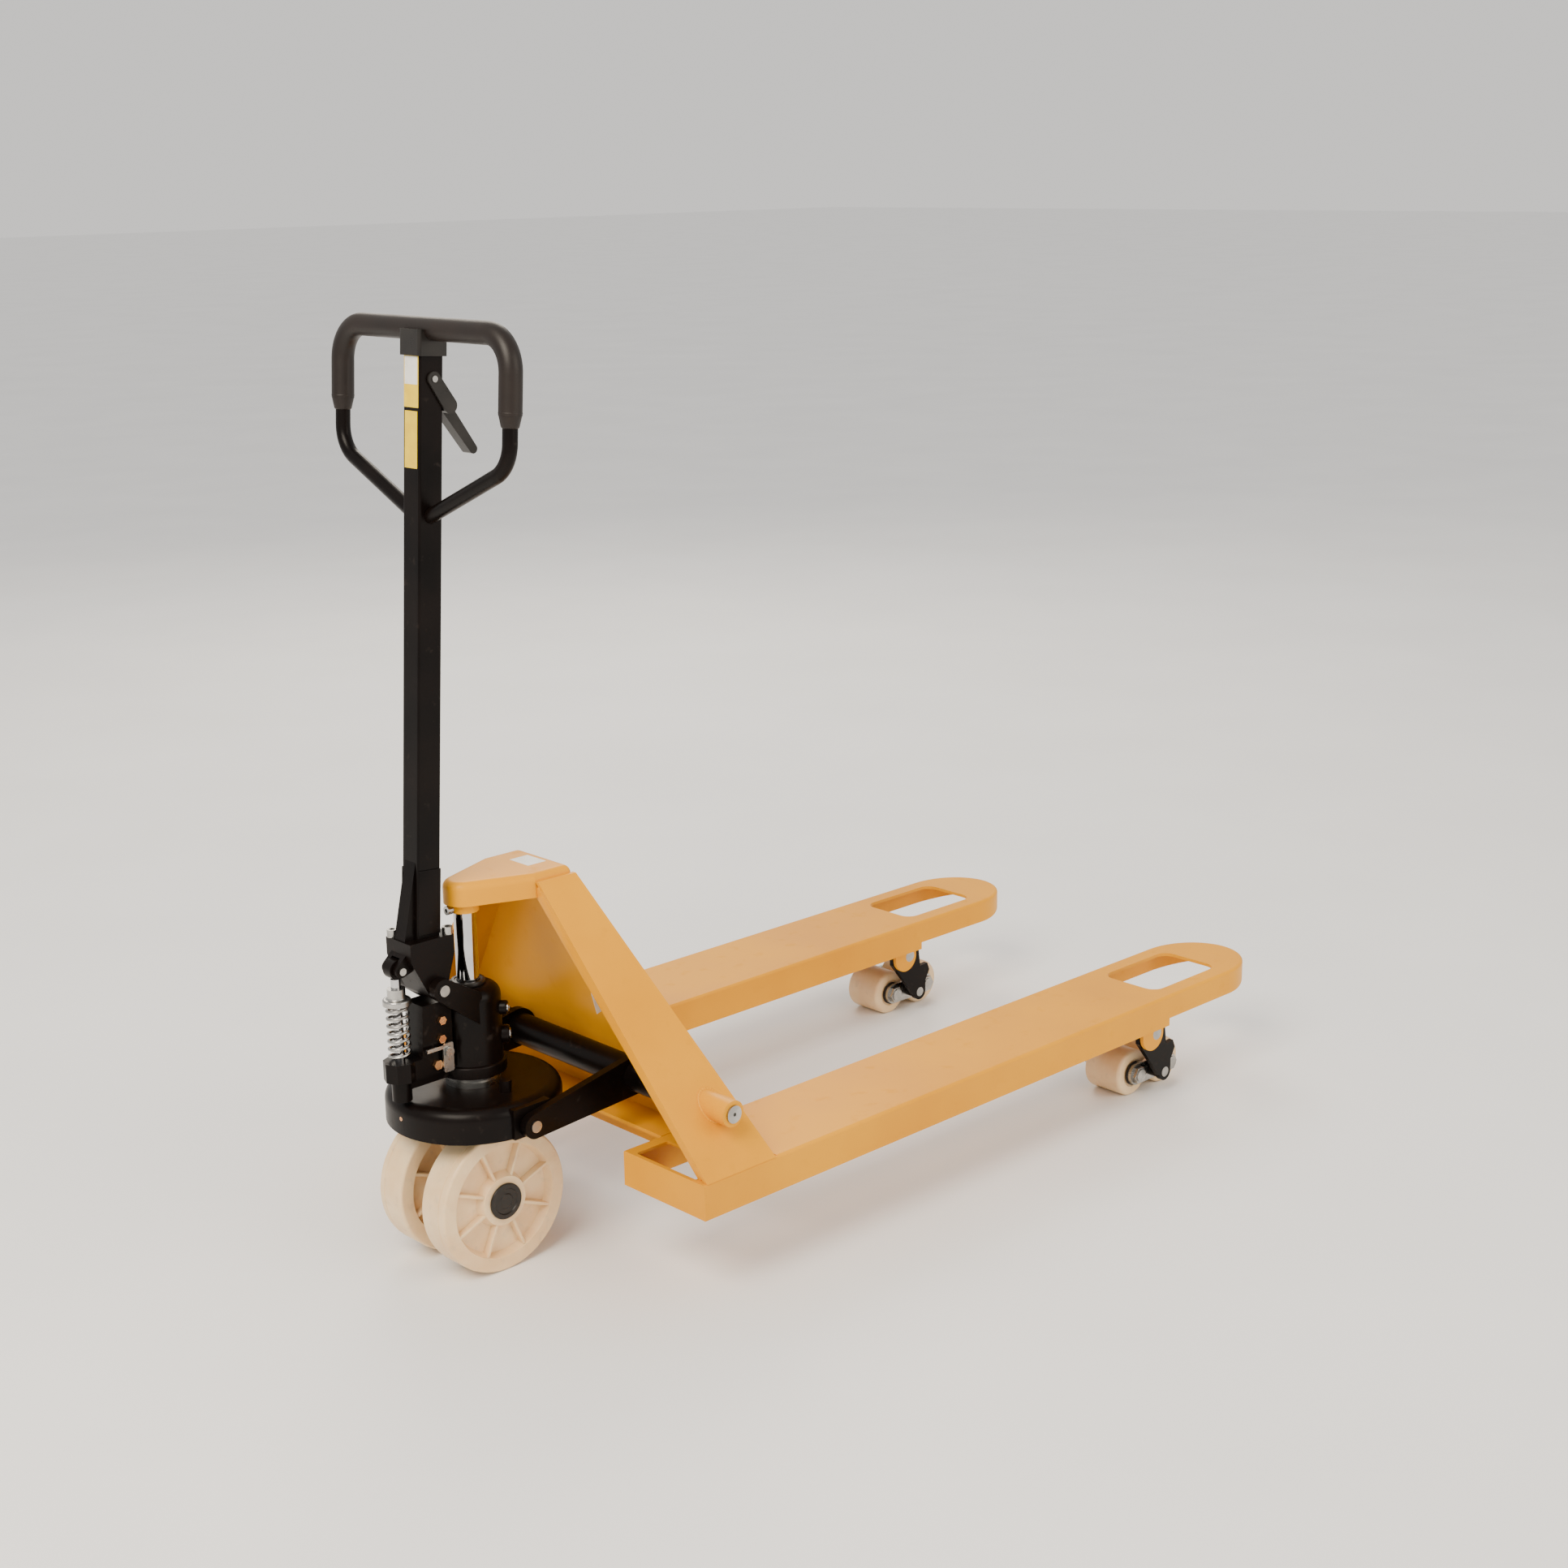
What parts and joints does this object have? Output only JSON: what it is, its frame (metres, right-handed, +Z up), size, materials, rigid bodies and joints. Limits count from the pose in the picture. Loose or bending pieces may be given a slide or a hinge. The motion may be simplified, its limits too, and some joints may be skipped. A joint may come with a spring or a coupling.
{
  "type": "pallet jack",
  "caption": "Hand pallet jack: two raised steel forks on tandem rollers, hydraulic pump on steered wheels, and an upright looped tow handle with a release lever.",
  "frame": {"origin": "on the floor, midway along the truck's length and on its centre line", "axes": "+X from the steering wheels to the fork tips, +Y to the left fork, +Z up"},
  "size_m": [1.4615, 0.685, 1.2525],
  "materials": {
    "yellow_paint": "glossy yellow-orange powder coat on steel",
    "black_paint": "satin black paint on steel and iron",
    "bright_steel": "zinc-plated steel",
    "chrome": "hard-chromed rod",
    "nylon": "cream cast nylon",
    "black_plastic": "black moulded plastic",
    "grip_rubber": "soft black dipped grip",
    "brass": "brass and copper plated screws"
  },
  "bodies": {
    "fork_frame": {"left_fork": "yellow_paint", "right_fork": "yellow_paint", "left_side_plate": "yellow_paint", "right_side_plate": "yellow_paint", "bulkhead": "yellow_paint", "cross_member": "yellow_paint", "head_casting": "yellow_paint", "head_set_screw": "bright_steel", "lift_piston": "chrome", "pivot_bosses": "yellow_paint", "pivot_pins": "bright_steel", "roller_ears": "yellow_paint", "roller_ear_pins": "bright_steel"},
    "carrier": {"carrier": "black_paint", "thrust_bearing": "bright_steel"},
    "pump": {"pump_body": "black_paint", "plunger_cylinder": "black_paint", "handle_pivot_pin": "bright_steel", "valve_fittings": "brass", "steering_axle": "bright_steel", "steering_wheel_bearings": "bright_steel", "release_lever_screw": "bright_steel"},
    "plunger": {"plunger_rod": "chrome", "spring_cap": "bright_steel", "plunger_spring": "bright_steel"},
    "release_lever": {"release_lever": "bright_steel"},
    "handle": {"handle_base": "black_paint", "cam_pin": "bright_steel", "foot_screws": "bright_steel", "post": "black_paint", "handle_loop": "black_paint", "grip_sleeve": "grip_rubber", "top_collar": "black_plastic", "hand_lever_pins": "bright_steel"},
    "cam_roller": {"cam_roller": "black_paint"},
    "hand_lever": {"hand_lever": "black_plastic"},
    "lift_frame": {"torsion_tube": "black_paint", "left_lift_arm": "black_paint", "right_lift_arm": "black_paint", "lift_arm_pins": "bright_steel"},
    "left_wheel": {"left_steering_wheel": "nylon", "left_hub_cap": "black_plastic"},
    "left_push_rod": {"left_push_rod": "black_paint"},
    "left_bracket": {"left_roller_bracket": "black_paint", "left_bogie_pins": "bright_steel"},
    "left_bogie": {"left_bogie_links": "bright_steel", "left_roller_axles": "bright_steel", "left_roller_seals": "black_plastic"},
    "left_rear_roller": {"left_rear_roller": "nylon"},
    "left_front_roller": {"left_front_roller": "nylon"},
    "right_wheel": {"right_steering_wheel": "nylon", "right_hub_cap": "black_plastic"},
    "right_push_rod": {"right_push_rod": "black_paint"},
    "right_bracket": {"right_roller_bracket": "black_paint", "right_bogie_pins": "bright_steel"},
    "right_bogie": {"right_bogie_links": "bright_steel", "right_roller_axles": "bright_steel", "right_roller_seals": "black_plastic"},
    "right_rear_roller": {"right_rear_roller": "nylon"},
    "right_front_roller": {"right_front_roller": "nylon"}
  },
  "joints": [
    {"name": "lift", "type": "slide", "parent": "fork_frame", "child": "carrier", "axis": [0, 0, 1], "range_m": [0, 0.085]},
    {"name": "steer", "type": "hinge", "parent": "carrier", "child": "pump", "pos_m": [-0.594, 0, 0.258], "axis": [0, 0, 1], "range_deg": [-90, 90]},
    {"name": "handle_tilt", "type": "hinge", "parent": "pump", "child": "handle", "pos_m": [-0.661, 0, 0.402], "axis": [0, -1, 0], "range_deg": [0, 48]},
    {"name": "plunger_stroke", "type": "slide", "parent": "pump", "child": "plunger", "axis": [0, 0, -1], "range_m": [0, 0.0458], "stiffness_N_per_m": 400, "springref_m": -0.02, "deforming": ["plunger_spring"]},
    {"name": "hand_lever_swing", "type": "hinge", "parent": "handle", "child": "hand_lever", "pos_m": [-0.61125, 0, 1.178], "axis": [0, -1, 0], "range_deg": [0, 25], "stiffness_Nm_per_rad": 2},
    {"name": "release_lever_swing", "type": "hinge", "parent": "pump", "child": "release_lever", "pos_m": [-0.65, -0.024, 0.312], "axis": [0, -1, 0], "range_deg": [0, 15.5]},
    {"name": "cam_spin", "type": "hinge", "parent": "handle", "child": "cam_roller", "pos_m": [-0.7075, 0, 0.4344], "axis": [0, 1, 0], "continuous": true},
    {"name": "left_wheel_spin", "type": "hinge", "parent": "pump", "child": "left_wheel", "pos_m": [-0.605, 0.048, 0.1], "axis": [0, 1, 0], "continuous": true},
    {"name": "right_wheel_spin", "type": "hinge", "parent": "pump", "child": "right_wheel", "pos_m": [-0.605, -0.048, 0.1], "axis": [0, 1, 0], "continuous": true},
    {"name": "lift_frame_swing", "type": "hinge", "parent": "fork_frame", "child": "lift_frame", "pos_m": [-0.422, 0, 0.243], "axis": [0, 1, 0], "range_deg": [0, 28.79]},
    {"name": "left_push_rod_swing", "type": "hinge", "parent": "lift_frame", "child": "left_push_rod", "pos_m": [-0.39813, 0.24, 0.14935], "axis": [0, -1, 0], "range_deg": [0, 28.79]},
    {"name": "left_bracket_swing", "type": "hinge", "parent": "fork_frame", "child": "left_bracket", "pos_m": [0.457, 0.2625, 0.112], "axis": [0, -1, 0], "range_deg": [0, 73.46]},
    {"name": "left_bogie_swing", "type": "hinge", "parent": "left_bracket", "child": "left_bogie", "pos_m": [0.49, 0.2625, 0.037], "axis": [0, 1, 0], "range_deg": [0, 73.46]},
    {"name": "left_rear_roller_spin", "type": "hinge", "parent": "left_bogie", "child": "left_rear_roller", "pos_m": [0.451, 0.2625, 0.037], "axis": [0, 1, 0], "continuous": true},
    {"name": "left_front_roller_spin", "type": "hinge", "parent": "left_bogie", "child": "left_front_roller", "pos_m": [0.529, 0.2625, 0.037], "axis": [0, 1, 0], "continuous": true},
    {"name": "right_push_rod_swing", "type": "hinge", "parent": "lift_frame", "child": "right_push_rod", "pos_m": [-0.39813, -0.24, 0.14935], "axis": [0, -1, 0], "range_deg": [0, 28.79]},
    {"name": "right_bracket_swing", "type": "hinge", "parent": "fork_frame", "child": "right_bracket", "pos_m": [0.457, -0.2625, 0.112], "axis": [0, -1, 0], "range_deg": [0, 73.46]},
    {"name": "right_bogie_swing", "type": "hinge", "parent": "right_bracket", "child": "right_bogie", "pos_m": [0.49, -0.2625, 0.037], "axis": [0, 1, 0], "range_deg": [0, 73.46]},
    {"name": "right_rear_roller_spin", "type": "hinge", "parent": "right_bogie", "child": "right_rear_roller", "pos_m": [0.451, -0.2625, 0.037], "axis": [0, 1, 0], "continuous": true},
    {"name": "right_front_roller_spin", "type": "hinge", "parent": "right_bogie", "child": "right_front_roller", "pos_m": [0.529, -0.2625, 0.037], "axis": [0, 1, 0], "continuous": true}
  ],
  "couplings": [
    {"joint": "plunger_stroke", "follows": "handle_tilt", "m_per_rad": 0.054045},
    {"joint": "release_lever_swing", "follows": "hand_lever_swing", "ratio": 0.6},
    {"joint": "lift_frame_swing", "follows": "lift", "rad_per_m": 5.8711},
    {"joint": "left_push_rod_swing", "follows": "lift", "rad_per_m": 5.8711},
    {"joint": "left_bracket_swing", "follows": "lift", "rad_per_m": 15.043},
    {"joint": "left_bogie_swing", "follows": "lift", "rad_per_m": 15.043},
    {"joint": "right_push_rod_swing", "follows": "lift", "rad_per_m": 5.8711},
    {"joint": "right_bracket_swing", "follows": "lift", "rad_per_m": 15.043},
    {"joint": "right_bogie_swing", "follows": "lift", "rad_per_m": 15.043}
  ]
}
